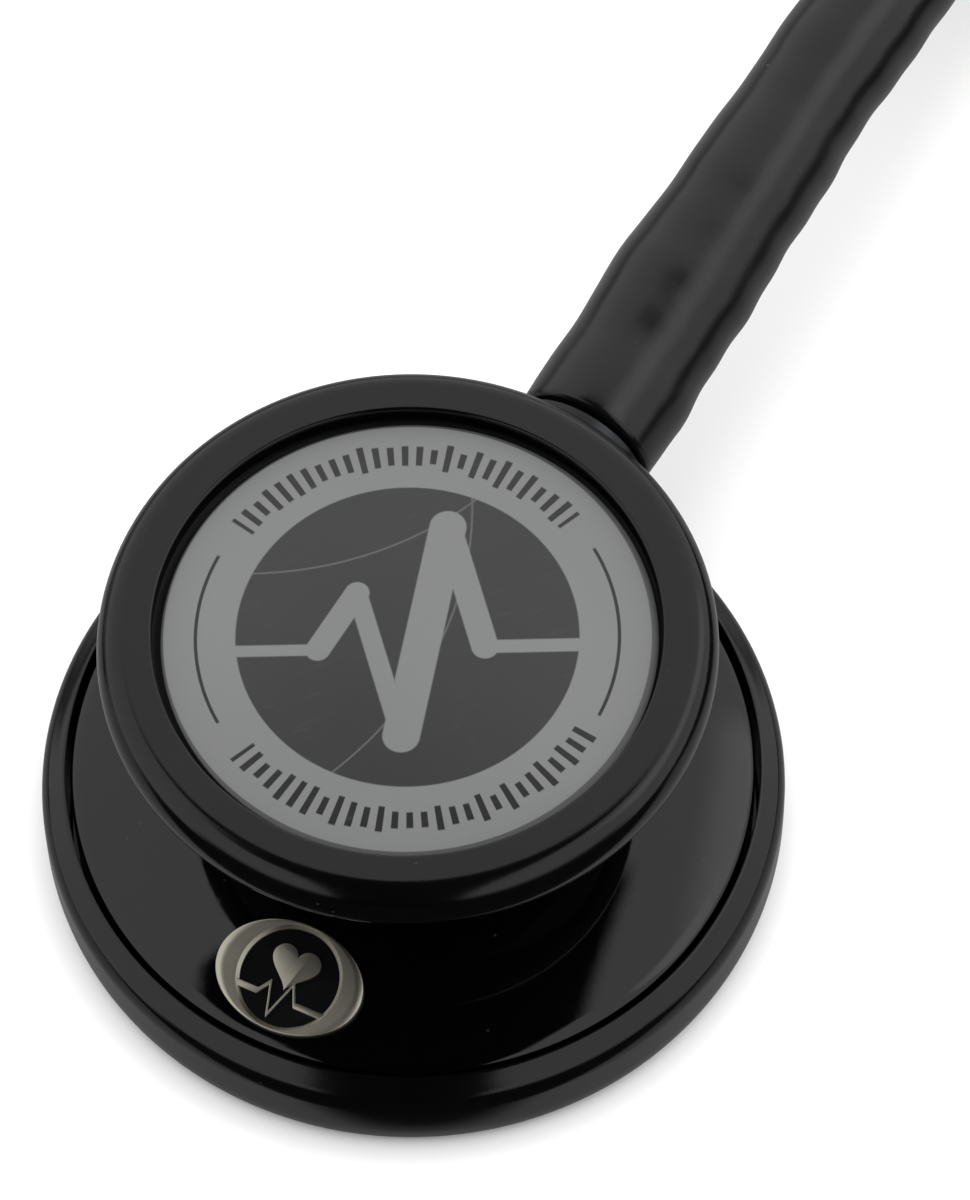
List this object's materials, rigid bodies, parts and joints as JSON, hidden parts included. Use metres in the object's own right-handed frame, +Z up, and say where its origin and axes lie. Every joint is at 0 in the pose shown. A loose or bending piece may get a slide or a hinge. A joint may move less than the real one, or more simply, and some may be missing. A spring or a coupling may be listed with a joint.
{
  "type": "stethoscope",
  "caption": "Dual-sided acoustic stethoscope with a swivelling chestpiece, a folded black hose and a sprung headset.",
  "frame": {"origin": "on the surface the stethoscope lies on, under the axis of the chestpiece, at the large diaphragm", "axes": "+Z up along the chestpiece's axis, from the large side to the small side; +Y the way the stem and hose leave the chestpiece"},
  "size_m": [0.2078, 0.3004, 0.0246],
  "materials": {
    "gloss_black": "gloss black coating",
    "rim_rubber": "satin black soft rim",
    "printed_disc": "grey printed disc, satin",
    "film": "thin black film",
    "champagne_metal": "polished champagne",
    "black_steel": "semi-gloss black",
    "bare_steel": "plain steel",
    "seal_rubber": "matt black",
    "hose": "satin black moulded hose",
    "smoke_steel": "smoke black, satin",
    "ear_tip": "soft matt black"
  },
  "bodies": {
    "root": {"stem": "black_steel", "seal_ring_inner": "seal_rubber", "seal_ring_outer": "seal_rubber", "retaining_clip": "bare_steel", "hose_cuff": "hose", "hose": "hose", "fork": "hose", "headset_spring": "bare_steel"},
    "chestpiece": {"chestpiece_body": "gloss_black", "rim_large": "rim_rubber", "surround_large": "film", "rim_small": "rim_rubber", "surround_small": "film", "badge": "champagne_metal", "detent_ball": "bare_steel", "detent_spring": "bare_steel", "detent_screw": "black_steel"},
    "large_diaphragm": {"diaphragm_large": "printed_disc"},
    "small_diaphragm": {"diaphragm_small": "printed_disc"},
    "left_arm": {"arm_left": "hose"},
    "right_arm": {"arm_right": "hose"},
    "left_ear": {"ear_tube_left": "smoke_steel", "ear_tip_ferrule_left": "smoke_steel", "ear_tip_left": "ear_tip"},
    "right_ear": {"ear_tube_right": "smoke_steel", "ear_tip_ferrule_right": "smoke_steel", "ear_tip_right": "ear_tip"}
  },
  "joints": [
    {"name": "chestpiece_swivel", "type": "hinge", "parent": "root", "child": "chestpiece", "pos_m": [0, 0, 0.0143], "axis": [0, 1, 0], "continuous": true},
    {"name": "large_diaphragm_press", "type": "slide", "parent": "chestpiece", "child": "large_diaphragm", "axis": [0, 0, 1], "range_m": [0, 0.0004], "stiffness_N_per_m": 4000, "deforming": ["surround_large"]},
    {"name": "small_diaphragm_press", "type": "slide", "parent": "chestpiece", "child": "small_diaphragm", "axis": [0, 0, -1], "range_m": [0, 0.0004], "stiffness_N_per_m": 4000, "deforming": ["surround_small"]},
    {"name": "left_arm_spread", "type": "hinge", "parent": "root", "child": "left_arm", "pos_m": [-0.1353, 0.193, 0.00445], "axis": [0, 0, -1], "range_deg": [-2, 18], "stiffness_Nm_per_rad": 1.2, "deforming": ["headset_spring"]},
    {"name": "right_arm_spread", "type": "hinge", "parent": "root", "child": "right_arm", "pos_m": [-0.1247, 0.193, 0.00445], "axis": [0, 0, 1], "range_deg": [-2, 18], "stiffness_Nm_per_rad": 1.2, "deforming": ["headset_spring"]},
    {"name": "left_ear_tube_turn", "type": "hinge", "parent": "left_arm", "child": "left_ear", "pos_m": [-0.1546, 0.12988, 0.00445], "axis": [-0.2924, -0.9563, 0], "range_deg": [0, 15]},
    {"name": "right_ear_tube_turn", "type": "hinge", "parent": "right_arm", "child": "right_ear", "pos_m": [-0.1054, 0.12988, 0.00445], "axis": [-0.2924, 0.9563, 0], "range_deg": [0, 15]}
  ]
}
